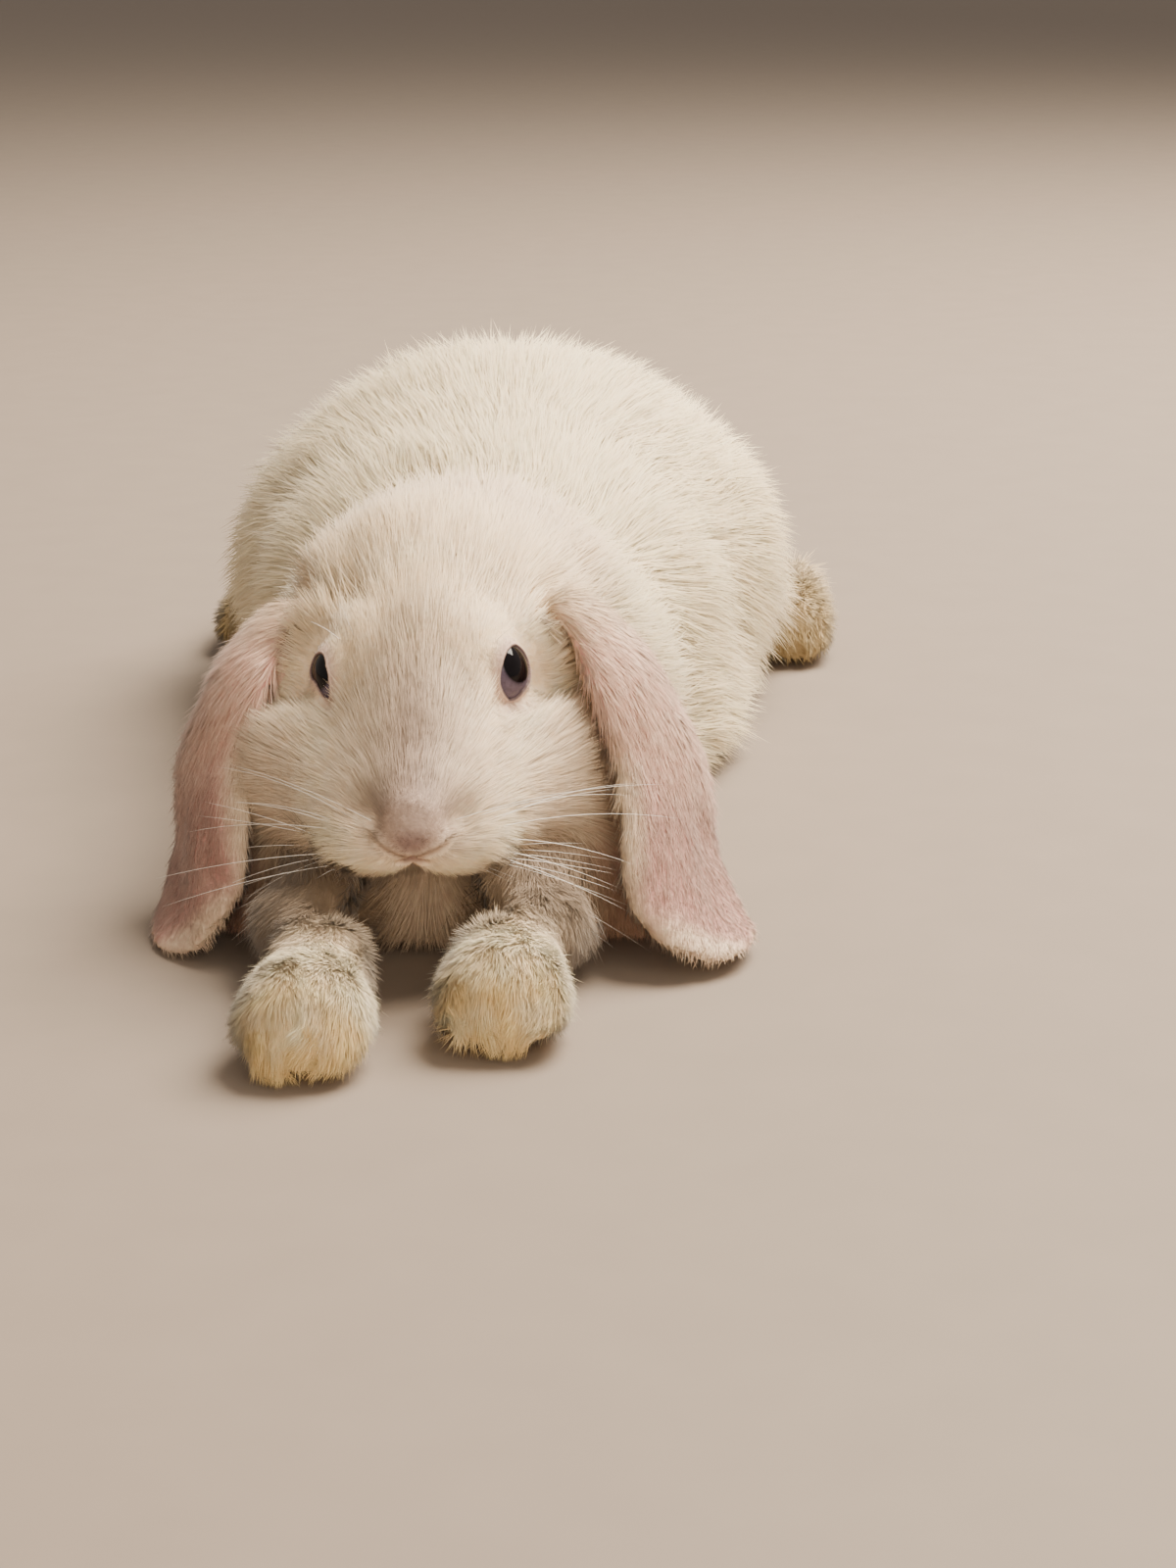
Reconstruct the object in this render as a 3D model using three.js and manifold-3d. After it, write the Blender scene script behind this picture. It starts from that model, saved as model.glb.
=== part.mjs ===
// A young lop-eared rabbit lying on its belly, life size, as one still model.
// Millimetres, +Z up. The rabbit faces -Y, its left side is +X, and it rests on z = 0.
// Every solid reaches out to the tips of the coat. The soft body is one blended form of
// named rounded masses; it is meshed from that form and then parted with thin cuts.
import * as THREE from "three";
import { mergeVertices } from "three/addons/utils/BufferGeometryUtils.js";
import Module from "manifold-3d";

const wasm = await Module();
wasm.setup();

// Driving sizes. While it is being built the nose tip is at y = 0 on the middle plane.
const GAP = 0.35; // the thin cut between two neighbouring parts
const BLEND = 9; // how widely the masses of the trunk run into each other
const FACE_BLEND = 7;
const HEAD_TURN = THREE.MathUtils.degToRad(4); // the head looks a little to the rabbit's left
const HEAD_PIVOT = new THREE.Vector3(-2.5, 35, 0);
const TRUNK_BEND = -0.018; // the spine drifts to the rabbit's right, in mm per mm behind the neck
const BEND_FROM = 60;
const EYE_RADIUS = 7.9;
const EYE = new THREE.Vector3(12.9, 40.5, 50); // left eyeball's centre on an unturned head

const FUR_WHITE = 0xe9e2d6;
const EAR_PINK = 0xd9b3aa;
const STAINED_FUR = 0xcdbb8e;
const EYE_DARK = 0x1c1620;

// ---- Forms: each is a signed distance in mm, negative inside ----

function ellipsoid(cx, cy, cz, rx, ry, rz) {
  return (x, y, z) => {
    const px = (x - cx) / rx;
    const py = (y - cy) / ry;
    const pz = (z - cz) / rz;
    const k0 = Math.hypot(px, py, pz);
    const k1 = Math.hypot(px / rx, py / ry, pz / rz);
    return k1 === 0 ? -Math.min(rx, ry, rz) : (k0 * (k0 - 1)) / k1;
  };
}

// A limb length: its radius runs evenly from ra at a to rb at b.
function limb(a, b, ra, rb) {
  const ab = b.map((v, i) => v - a[i]);
  const length2 = ab[0] ** 2 + ab[1] ** 2 + ab[2] ** 2;
  return (x, y, z) => {
    const dot = (x - a[0]) * ab[0] + (y - a[1]) * ab[1] + (z - a[2]) * ab[2];
    const t = THREE.MathUtils.clamp(dot / length2, 0, 1);
    const away = Math.hypot(x - a[0] - t * ab[0], y - a[1] - t * ab[1], z - a[2] - t * ab[2]);
    return away - THREE.MathUtils.lerp(ra, rb, t);
  };
}

function softMin(a, b, k) {
  const h = Math.max(k - Math.abs(a - b), 0) / k;
  return Math.min(a, b) - (h * h * k) / 4;
}

function blended(forms, k) {
  return (x, y, z) => forms.reduce((d, form) => softMin(d, form(x, y, z), k), 1e6);
}

// A mirrored pair, where the form is the one on the rabbit's left.
function pair(form) {
  return (x, y, z) => form(Math.abs(x), y, z);
}

// Takes a point back to where it was before the head was turned.
function turned(form) {
  const c = Math.cos(HEAD_TURN);
  const s = Math.sin(HEAD_TURN);
  return (x, y, z) => {
    const dx = x - HEAD_PIVOT.x;
    const dy = y - HEAD_PIVOT.y;
    return form(dx * c + dy * s, HEAD_PIVOT.y - dx * s + dy * c, z);
  };
}

function bent(form) {
  return (x, y, z) => form(x - TRUNK_BEND * Math.max(0, y - BEND_FROM), y, z);
}

// ---- Head: cranium, tapering face, cheeks, whisker pads, nose and chin ----
const skullForm = blended(
  [
    ellipsoid(0, 72, 50, 31, 32, 29), // cranium
    limb([0, 46, 44.5], [0, 14.5, 31], 23, 12.8), // brow to nose, blunt at the end
    pair(ellipsoid(18, 42, 30, 19, 22, 20)), // cheek
    pair(ellipsoid(11, 23.5, 27, 13, 15.5, 13.5)), // side of the face
    pair(ellipsoid(7.5, 12, 26.5, 8.5, 10.3, 7.5)), // whisker pad
    ellipsoid(0, 4, 32.5, 5, 4, 6), // nose
    ellipsoid(0, 15, 22, 9, 9, 6), // chin
  ],
  FACE_BLEND,
);
const socketForm = pair(ellipsoid(EYE.x + 7.5, EYE.y - 0.5, EYE.z - 0.3, 7, 7.5, 6.5));
const headForm = turned((x, y, z) => -softMin(-skullForm(x, y, z), socketForm(x, y, z), 5));

// ---- Neck, chest, back, belly, rump and haunches ----
const trunkForm = blended(
  [
    bent(ellipsoid(0, 98, 46, 36, 36, 33)), // nape
    bent(ellipsoid(0, 60, 15, 42, 44, 24)), // chest and dewlap
    bent(pair(ellipsoid(30, 48, 8, 16, 26, 16))), // fur round the elbow
    bent(ellipsoid(0, 112, 30, 47, 48, 38)), // shoulders
    bent(ellipsoid(0, 168, 31, 57, 60, 47)), // back
    bent(ellipsoid(0, 176, 14, 62, 92, 22)), // belly, spread on the ground
    bent(ellipsoid(0, 220, 36, 64, 78, 51.5)), // rump
    bent(pair(ellipsoid(43, 226, 30, 28, 52, 33))), // haunch
  ],
  BLEND,
);
const bodyForm = (x, y, z) => softMin(headForm(x, y, z), trunkForm(x, y, z), BLEND);

// ---- Meshing: one closed surface round a form, on a grid of the given lines ----

// Grid lines from one end to the other, with a finer step up to `fineUntil`.
function gridLines(from, to, fine, coarse = fine, fineUntil = to) {
  const lines = [from];
  while (lines.at(-1) < to) {
    lines.push(lines.at(-1) + (lines.at(-1) < fineUntil ? fine : coarse));
  }
  return lines;
}

// Moves a point that is near the surface of a form onto it, down the form's gradient.
function settled(form, point) {
  const p = [...point];
  const e = 0.05;
  for (let step = 0; step < 2; step++) {
    const d = form(...p);
    if (Math.abs(d) > 2) return point;
    const slope = [0, 1, 2].map((axis) => {
      const q = [...p];
      q[axis] += e;
      return (form(...q) - d) / e;
    });
    const steep = Math.max(slope[0] ** 2 + slope[1] ** 2 + slope[2] ** 2, 0.2);
    slope.forEach((v, axis) => (p[axis] -= (d * v) / steep));
  }
  return p;
}

// Surface nets: each grid cell that the surface crosses gets one vertex, and each crossed
// grid edge gets one quad. The outermost grid lines count as outside, so it always closes.
function meshOf(form, xs, ys, zs) {
  const [nx, ny, nz] = [xs.length, ys.length, zs.length];
  const at = (i, j, k) => (k * ny + j) * nx + i;
  const field = new Float32Array(nx * ny * nz);
  for (let k = 0; k < nz; k++) {
    for (let j = 0; j < ny; j++) {
      for (let i = 0; i < nx; i++) {
        const edge = !i || !j || !k || i === nx - 1 || j === ny - 1 || k === nz - 1;
        const d = form(xs[i], ys[j], zs[k]);
        field[at(i, j, k)] = edge ? Math.max(d, 0.5) : d || 1e-4;
      }
    }
  }
  const lines = [xs, ys, zs];
  const corner = (i, j, k) => [xs[i], ys[j], zs[k]];
  const positions = [];
  const cellVertex = new Map();
  for (let k = 0; k < nz - 1; k++) {
    for (let j = 0; j < ny - 1; j++) {
      for (let i = 0; i < nx - 1; i++) {
        const sum = [0, 0, 0];
        let count = 0;
        for (let axis = 0; axis < 3; axis++) {
          for (let side = 0; side < 4; side++) {
            const a = [i, j, k];
            a[(axis + 1) % 3] += side & 1;
            a[(axis + 2) % 3] += side >> 1;
            const b = [...a];
            b[axis] += 1;
            const da = field[at(...a)];
            const db = field[at(...b)];
            if (da < 0 === db < 0) continue;
            const pa = corner(...a);
            pa[axis] += (lines[axis][b[axis]] - lines[axis][a[axis]]) * (da / (da - db));
            pa.forEach((v, n) => (sum[n] += v));
            count++;
          }
        }
        if (!count) continue;
        cellVertex.set(at(i, j, k), positions.length / 3);
        positions.push(...settled(form, sum.map((v) => v / count)));
      }
    }
  }
  const index = [];
  for (let k = 0; k < nz - 1; k++) {
    for (let j = 0; j < ny - 1; j++) {
      for (let i = 0; i < nx - 1; i++) {
        for (let axis = 0; axis < 3; axis++) {
          const [u, v] = [(axis + 1) % 3, (axis + 2) % 3];
          const b = [i, j, k];
          if (!b[u] || !b[v]) continue;
          b[axis] += 1;
          const inside = field[at(i, j, k)] < 0;
          if (inside === field[at(...b)] < 0) continue;
          const ring = [[0, 0], [1, 0], [1, 1], [0, 1]].map(([du, dv]) => {
            const cell = [i, j, k];
            cell[u] -= du;
            cell[v] -= dv;
            return cellVertex.get(at(...cell));
          });
          if (!inside) ring.reverse();
          index.push(ring[0], ring[1], ring[2], ring[0], ring[2], ring[3]);
        }
      }
    }
  }
  const geometry = new THREE.BufferGeometry();
  geometry.setAttribute("position", new THREE.Float32BufferAttribute(positions, 3));
  geometry.setIndex(index);
  return geometry;
}

// ---- Solids: joining, cutting and the way back to three.js ----

function solidOf(geometry) {
  const bare = new THREE.BufferGeometry();
  bare.setAttribute("position", geometry.getAttribute("position"));
  bare.setIndex(geometry.getIndex());
  const merged = mergeVertices(bare, 1e-4);
  const vertProperties = new Float32Array(merged.attributes.position.array);
  const triVerts = new Uint32Array(merged.index.array);
  return new wasm.Manifold(new wasm.Mesh({ numProp: 3, vertProperties, triVerts }));
}

function geometryOf(solid) {
  const mesh = solid.getMesh();
  const geometry = new THREE.BufferGeometry();
  geometry.setAttribute("position", new THREE.BufferAttribute(mesh.vertProperties, 3));
  geometry.setIndex(new THREE.BufferAttribute(mesh.triVerts, 1));
  return geometry;
}

// The same solid with its surface moved out by the cut's width.
function grown(solid, by = GAP) {
  const geometry = geometryOf(solid);
  geometry.computeVertexNormals();
  const { position, normal } = geometry.attributes;
  for (let i = 0; i < position.count; i++) {
    position.setXYZ(
      i,
      position.getX(i) + normal.getX(i) * by,
      position.getY(i) + normal.getY(i) * by,
      position.getZ(i) + normal.getZ(i) * by,
    );
  }
  return solidOf(geometry);
}

// The largest body of a solid: slivers that a cut leaves behind are dropped.
function mainBody(solid) {
  return solid.decompose().sort((a, b) => b.volume() - a.volume())[0];
}

// A block whose one face is the plane through `point` facing `normal`; it lies behind the plane.
function behindPlane(point, normal, size = 1200) {
  const block = new THREE.BoxGeometry(size, size, size).translate(0, 0, -size / 2);
  const turn = new THREE.Quaternion().setFromUnitVectors(
    new THREE.Vector3(0, 0, 1),
    new THREE.Vector3(...normal).normalize(),
  );
  return solidOf(block.applyQuaternion(turn).translate(...point));
}

const ground = behindPlane([0, 0, 0], [0, 0, 1]);
const onGround = (solid) => mainBody(solid.subtract(ground));

// ---- Ears: a rolled leaf along a hanging curve, hollow side to the cheek ----
const EAR_ROWS = 17;
const EAR_ROUND = 7; // points across one face of the leaf
const EAR_LEAF_WIDTH = 40;
const EAR_THICKNESS = 4.6;
const EAR_ROLL = 1.05; // half the roll's angle in the middle of the ear, in radians
const EAR_TROUGH = 2.6; // depth of the hollow behind the rear rim, low on the ear

// The middle line of each ear, from inside the crown down to the tip on the ground.
const LEFT_EAR_LINE = [
  [17, 73, 54.5], [27, 66.5, 56], [36.5, 60.5, 49.5], [42.5, 53, 40.5],
  [45.6, 44.5, 30.5], [47.4, 35.5, 20.8], [49, 25.5, 12.2], [51, 14, 6], [52.5, 7, 3.4],
];
const RIGHT_EAR_LINE = [
  [-21, 74, 53.5], [-32, 67.5, 54.5], [-41, 61.5, 48], [-45.5, 54, 39.5],
  [-47, 45.5, 29.5], [-46.6, 36.5, 19.8], [-45.2, 27, 11.8], [-43.4, 17, 6], [-42.4, 12, 3.4],
];

function earSolid(line, side) {
  const curve = new THREE.CatmullRomCurve3(line.map((p) => new THREE.Vector3(...p)));
  const positions = [];
  for (let row = 0; row <= EAR_ROWS; row++) {
    const t = row / EAR_ROWS;
    const centre = curve.getPointAt(t);
    const along = curve.getTangentAt(t);
    // From the front margin, near the cheek, to the rear margin, which hangs out, back and down.
    const level = THREE.MathUtils.smoothstep(t, 0.6, 1);
    const across = new THREE.Vector3(side * (0.56 + 0.06 * level), 0.7, -0.5 + 0.5 * level);
    across.addScaledVector(along, -across.dot(along)).normalize();
    const outward = new THREE.Vector3().crossVectors(along, across).multiplyScalar(side);
    const taper = Math.min(1, Math.sqrt(Math.max(1 - ((t - 0.72) / 0.285) ** 2, 0.012)));
    const spread = THREE.MathUtils.smoothstep(t, 0.04, 0.6);
    const width = THREE.MathUtils.lerp(17, EAR_LEAF_WIDTH, spread) * (t > 0.72 ? taper : 1);
    const thick = THREE.MathUtils.lerp(11, EAR_THICKNESS, THREE.MathUtils.smoothstep(t, 0.02, 0.4));
    const roll = EAR_ROLL * (1 - 0.55 * THREE.MathUtils.smoothstep(t, 0.6, 1));
    const trough = EAR_TROUGH * THREE.MathUtils.smoothstep(t, 0.55, 0.72) * taper;
    for (let n = 0; n < 2 * EAR_ROUND; n++) {
      const outerFace = n < EAR_ROUND;
      const step = outerFace ? n : 2 * EAR_ROUND - 1 - n;
      const s = (2 * (step + 0.5)) / EAR_ROUND - 1; // -1 front margin, +1 rear margin
      const angle = s * roll;
      const radius = width / (2 * roll);
      const sideways = radius * Math.sin(angle);
      const bow = radius * (Math.cos(angle) - 1) * 0.8 + width * 0.12;
      const dent = -trough * Math.exp(-(((s - 0.42) / 0.26) ** 2));
      const edge = Math.sqrt(Math.max(1 - Math.abs(s) ** 3.2, 0.05));
      const face = (outerFace ? 0.5 : -0.5) * thick * edge * Math.max(taper, 0.45);
      positions.push(
        ...centre
          .clone()
          .addScaledVector(across, sideways)
          .addScaledVector(outward, bow + dent + face)
          .toArray(),
      );
    }
  }
  const ring = 2 * EAR_ROUND;
  const index = [];
  for (let row = 0; row < EAR_ROWS; row++) {
    for (let n = 0; n < ring; n++) {
      const a = row * ring + n;
      const b = row * ring + ((n + 1) % ring);
      index.push(a, b, a + ring, b, b + ring, a + ring);
    }
  }
  for (const row of [0, EAR_ROWS]) {
    // Each end is closed by strips between the two faces.
    for (let n = 0; n < EAR_ROUND - 1; n++) {
      const a = row * ring + n;
      const b = row * ring + ring - 1 - n;
      const quad = [a, b, b - 1, a, b - 1, a + 1];
      index.push(...(row === 0 ? quad : quad.reverse()));
    }
  }
  if (side > 0) index.reverse();
  const geometry = new THREE.BufferGeometry();
  geometry.setAttribute("position", new THREE.Float32BufferAttribute(positions, 3));
  geometry.setIndex(index);
  return solidOf(geometry);
}

// ---- Legs, feet and tail ----

// A foreleg lies flat ahead of the chest: elbow, wrist, then a round paw with four toes.
function forelegForm(side, pawX, pawTipY) {
  const toes = [-1.5, -0.5, 0.5, 1.5].map((n) =>
    limb(
      [pawX + n * 4.6, pawTipY + 15, 8.5],
      [pawX + n * 5, pawTipY + 6.5 + 1.6 * Math.abs(n), 5.6],
      6.2,
      5.2,
    ),
  );
  return blended(
    [
      limb([side * 25, 58, 10.5], [side * 21, 34, 9.5], 11, 10), // elbow end
      limb([side * 21, 34, 9.5], [pawX, pawTipY + 34, 8.5], 10, 10), // forearm
      ellipsoid(side * 20.5, 19, 9.5, 12.5, 21, 10), // chest fur that falls over it
      ellipsoid(pawX, pawTipY + 20, 9.5, 12.3, 15, 10.6), // paw
      ...toes,
    ],
    4,
  );
}

// A hind foot lies flat beside the belly, with the heel under the rump.
function hindFootForm(toeX, toeY, heelX, heelY) {
  const toes = [-1.2, 0, 1.2].map((n) =>
    limb([toeX + n * 4.2, toeY + 16, 8.5], [toeX + n * 4.4, toeY + 6 + Math.abs(n), 5.2], 6.4, 5),
  );
  return blended([limb([toeX, toeY + 18, 8], [heelX, heelY, 9.5], 10, 10.5), ...toes], 4);
}

const FORE_GRID = 6.0;
const FOOT_GRID = 6.4;

function limbSolid(form, low, high, step) {
  return solidOf(
    meshOf(
      form,
      gridLines(low[0], high[0], step),
      gridLines(low[1], high[1], step),
      gridLines(low[2], high[2], step),
    ),
  );
}

const foreleg = {
  left: limbSolid(forelegForm(1, 18, -35), [0, -46, -8], [40, 78, 30], FORE_GRID),
  right: limbSolid(forelegForm(-1, -15.5, -48), [-40, -56, -8], [2, 78, 30], FORE_GRID),
};
const hindFoot = {
  left: limbSolid(hindFootForm(69.5, 232, 69, 294), [50, 222, -8], [92, 312, 28], FOOT_GRID),
  right: limbSolid(hindFootForm(-74, 236, -72, 297), [-96, 226, -8], [-54, 315, 28], FOOT_GRID),
};
const tail = limbSolid(
  blended([ellipsoid(-4.5, 297, 33, 15, 15, 17), ellipsoid(-4.5, 292, 26, 18, 13, 17)], 6),
  [-26, 274, 2],
  [16, 322, 54],
  5.5,
);

// ---- The body, meshed finely round the face and more coarsely behind ----
const fineBody = solidOf(
  meshOf(bodyForm, gridLines(-50, 50, 5), gridLines(-6, 116, 4, 6, 22), gridLines(-8, 92, 5)),
);
const coarseBody = solidOf(
  meshOf(bodyForm, gridLines(-95, 95, 11.2), gridLines(-2, 342, 11.5), gridLines(-15, 108, 10.7)),
);

// The head is parted from the neck behind the ears, and from the chest along the throat.
const NECK_CUT = { point: [-3, 84, 50], normal: [0, -0.94, 0.34] };
const THROAT_CUT = { point: [0, 20, 11.5], normal: [0, -0.12, 1] };
const SHOULDER_CUT = { point: [-4, 112, 50], normal: [0, -0.97, 0.24] };
const shifted = ({ point, normal }, by) => {
  const n = new THREE.Vector3(...normal).normalize();
  return behindPlane(point.map((v, i) => v + n.getComponent(i) * by), normal);
};

const eyeBall = (side) => {
  const turn = new THREE.Matrix4().makeRotationZ(HEAD_TURN);
  const centre = new THREE.Vector3(side * EYE.x, EYE.y - HEAD_PIVOT.y, EYE.z).applyMatrix4(turn);
  const ball = new THREE.SphereGeometry(EYE_RADIUS, 12, 8).rotateZ(side * Math.PI * 0.5);
  return solidOf(ball.translate(centre.x + HEAD_PIVOT.x, centre.y + HEAD_PIVOT.y, centre.z));
};
const eyes = { left: eyeBall(1), right: eyeBall(-1) };

const headWhole = mainBody(
  fineBody.subtract(shifted(NECK_CUT, 0)).subtract(shifted(THROAT_CUT, 0)).subtract(ground),
);
const head = mainBody(headWhole.subtract(grown(eyes.left)).subtract(grown(eyes.right)));
const notHead = (solid) =>
  solid.subtract(
    solidOf(new THREE.BoxGeometry(300, 300, 300).translate(0, 0, 150))
      .subtract(shifted(NECK_CUT, -GAP))
      .subtract(shifted(THROAT_CUT, -GAP)),
  );
const neck = mainBody(
  notHead(fineBody).subtract(shifted(SHOULDER_CUT, 0)).subtract(behindPlane([0, 0, 34], [0, 0, 1])),
);
const neckRoom = solidOf(new THREE.BoxGeometry(300, 300, 300).translate(0, 0, 150 + 34 - GAP))
  .subtract(shifted(SHOULDER_CUT, -GAP));
const behindHead = notHead(coarseBody).subtract(neckRoom);

// The haunch is the stretch of the body inside a rounded bound.
const haunchBound = (side, by = 0) =>
  solidOf(
    new THREE.SphereGeometry(1, 14, 9)
      .scale(34 + by, 56 + by, 40 + by)
      .translate(side * 52 + TRUNK_BEND * 170, 232, 34),
  );
const haunch = (side) => onGround(behindHead.intersect(haunchBound(side)));
const trunk = onGround(behindHead.subtract(haunchBound(1, GAP)).subtract(haunchBound(-1, GAP)));

// Ears, paws, feet and tail end where they come out of the body.
const bodyRoom = grown(mainBody(fineBody)).add(grown(mainBody(coarseBody)));
const outside = (solid) => onGround(solid.subtract(bodyRoom));

// ---- The scene graph: one named mesh for each part of the body ----
const rabbit = new THREE.Group();

function add(name, solid, color, roughness = 0.85) {
  const material = new THREE.MeshStandardMaterial({ color, roughness, metalness: 0 });
  const mesh = new THREE.Mesh(geometryOf(solid), material);
  mesh.name = name;
  rabbit.add(mesh);
}

add("head", head, FUR_WHITE);
add("neck", neck, FUR_WHITE);
add("trunk", trunk, FUR_WHITE);
add("tail", outside(tail), FUR_WHITE);
for (const [name, side] of [["left", 1], ["right", -1]]) {
  const line = side > 0 ? LEFT_EAR_LINE : RIGHT_EAR_LINE;
  add(`eye_${name}`, eyes[name], EYE_DARK, 0.1);
  add(`ear_${name}`, outside(earSolid(line, side)), EAR_PINK);
  add(`foreleg_${name}`, outside(foreleg[name]), FUR_WHITE);
  add(`hind_leg_${name}`, haunch(side), FUR_WHITE);
  add(`hind_foot_${name}`, outside(hindFoot[name]), STAINED_FUR);
}

// The origin is the middle of the box round the rabbit, on the ground.
const box = new THREE.Box3().setFromObject(rabbit);
rabbit.position.set(-(box.min.x + box.max.x) / 2, -(box.min.y + box.max.y) / 2, 0);

export default rabbit;
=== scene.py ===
import math

import bmesh
import bpy
import numpy as np
from mathutils import Matrix, Vector
from mathutils.bvhtree import BVHTree
from mathutils.kdtree import KDTree


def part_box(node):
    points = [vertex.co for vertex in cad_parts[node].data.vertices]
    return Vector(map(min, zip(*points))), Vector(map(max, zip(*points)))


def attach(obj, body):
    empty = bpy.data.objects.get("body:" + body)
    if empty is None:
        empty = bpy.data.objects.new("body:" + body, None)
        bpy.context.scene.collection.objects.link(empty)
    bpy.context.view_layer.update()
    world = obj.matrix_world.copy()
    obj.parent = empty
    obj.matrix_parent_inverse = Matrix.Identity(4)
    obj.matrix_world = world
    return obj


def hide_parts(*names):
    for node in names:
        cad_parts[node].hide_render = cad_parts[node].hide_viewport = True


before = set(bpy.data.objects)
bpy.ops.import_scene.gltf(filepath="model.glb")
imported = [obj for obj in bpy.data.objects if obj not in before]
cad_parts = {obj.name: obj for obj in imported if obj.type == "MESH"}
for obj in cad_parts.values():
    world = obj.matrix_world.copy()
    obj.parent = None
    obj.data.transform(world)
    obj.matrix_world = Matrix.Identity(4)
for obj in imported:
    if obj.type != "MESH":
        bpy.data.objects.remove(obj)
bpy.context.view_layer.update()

rng = np.random.default_rng(41)

# ---- The measure of the rabbit ----
# A young lop rabbit, built with its nose tip at y = 0 on its middle plane and its belly on
# the ground. Both eyeballs keep the places that the solids give them, and all else is set
# out from the point midway between them. Lengths are in millimetres until a mesh is made.
MM = 0.001
HEAD_TURN = math.radians(4)
PIVOT = np.array([-2.5, 35.0, 0.0])
EYE_R = 7.9


def middle_of(node):
    lo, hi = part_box(node)
    return (np.array(lo) + np.array(hi)) / 2


eye_centre = {side: middle_of(f"eye_{side}") for side in ("left", "right")}
between_eyes = PIVOT + [-5.5 * math.sin(HEAD_TURN), 5.5 * math.cos(HEAD_TURN), 50.0]
placed = (eye_centre["left"] + eye_centre["right"]) / 2 / MM - between_eyes


def smooth(x, lo, hi):
    t = np.clip((np.asarray(x, float) - lo) / (hi - lo), 0, 1)
    return t * t * (3 - 2 * t)


def unit(v):
    return v / np.maximum(np.linalg.norm(v, axis=-1, keepdims=True), 1e-9)


def on_head(p):
    # The same points seen by the head, as if it looked straight ahead.
    d = p - PIVOT
    c, s = math.cos(HEAD_TURN), math.sin(HEAD_TURN)
    q = np.stack([d[..., 0] * c + d[..., 1] * s, -d[..., 0] * s + d[..., 1] * c, d[..., 2]], -1)
    return q + [0, PIVOT[1], 0]


def off_head(q):
    d = q - [0, PIVOT[1], 0]
    c, s = math.cos(HEAD_TURN), math.sin(HEAD_TURN)
    return np.stack([d[..., 0] * c - d[..., 1] * s, d[..., 0] * s + d[..., 1] * c, d[..., 2]], -1) + PIVOT


# ---- Ears: thin leaves of skin ----
# Each ear is a rolled leaf of gristle and skin about 2 mm thick that hangs forward from the
# crown to the ground, hollow side to the cheek. A flat grid is bent along the ear's middle
# line and then given its thickness.
ear_line = {
    "left": [
        (15, 74, 52), (27, 66.5, 55.2), (36, 60.5, 49), (42, 53, 40.3), (45.2, 44.5, 30.4),
        (47, 35.5, 20.8), (48.8, 25.5, 12.4), (50.8, 14.4, 6.4), (52, 9, 4.6),
    ],
    "right": [
        (-19, 75, 51), (-32, 67.5, 53.6), (-40.5, 61.5, 47.5), (-45, 54, 39.3), (-46.6, 45.5, 29.4),
        (-46.2, 36.5, 19.8), (-44.9, 27, 12), (-43, 17.4, 6.4), (-42.1, 13.6, 4.6),
    ],
}
EAR_WIDE = 38.0
LEAF_THICK = 2.2


def along_line(points, t):
    # Points and tangents of a smooth curve through the given points, at shares t of its length.
    p = np.array(points, float)
    p = np.vstack([2 * p[0] - p[1], p, 2 * p[-1] - p[-2]])
    fine = []
    for i in range(1, len(p) - 2):
        u = np.linspace(0, 1, 40, endpoint=False)[:, None]
        a, b, c, d = p[i - 1], p[i], p[i + 1], p[i + 2]
        fine.append(
            0.5 * (2 * b + (c - a) * u + (2 * a - 5 * b + 4 * c - d) * u**2
                   + (3 * b - a - 3 * c + d) * u**3)
        )
    fine = np.vstack(fine + [p[-2][None]])
    run = np.concatenate([[0], np.cumsum(np.linalg.norm(np.diff(fine, axis=0), axis=1))])
    at = lambda s: np.stack([np.interp(s * run[-1], run, fine[:, k]) for k in range(3)], -1)
    return at(t), unit(at(np.clip(t + 0.01, 0, 1)) - at(np.clip(t - 0.01, 0, 1)))


def ear_shape(side, t, s):
    # A point on the leaf at share t from the root and s from the front margin (-1) to the rear (1).
    sign = 1 if side == "left" else -1
    centre, along = along_line(ear_line[side], t)
    level = smooth(t, 0.6, 1)
    across = np.stack([sign * (0.56 + 0.06 * level), 0.7 + 0 * t, -0.5 + 0.5 * level], -1)
    across = unit(across - along * (across * along).sum(-1, keepdims=True))
    outward = sign * np.cross(along, across)
    tip = np.sqrt(np.clip(1 - np.clip((t - 0.7) / 0.302, 0, 1) ** 2.2, 0.0, 1))
    width = (23 + (EAR_WIDE - 23) * smooth(t, 0.02, 0.5)) * np.maximum(tip, 0.05)
    to_front = 5.0 * smooth(t, 0.02, 0.16) * (1 - smooth(t, 0.34, 0.62))
    roll = 1.05 * (1 - 0.55 * smooth(t, 0.6, 1)) * (1 + 0.5 * (1 - smooth(t, 0, 0.3)))
    radius = width / (2 * roll)
    bow = radius * (np.cos(s * roll) - 1) * 0.8 + width * 0.12
    low = smooth(t, 0.48, 0.68)
    trough = -3.0 * low * np.exp(-(((s - 0.3) / 0.42) ** 2)) * tip
    rim = 1.5 * low * np.exp(-(((s + 0.72) / 0.2) ** 2)) + 0.8 * low * np.exp(-(((s - 0.95) / 0.12) ** 2))
    crease = 0.5 * np.sin(9 * t + 3 * s) * smooth(t, 0.15, 0.4) * (1 - low)
    lift = bow + trough + rim * tip + crease
    return centre + across * (radius * np.sin(s * roll) - to_front)[..., None] + outward * lift[..., None]


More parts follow.
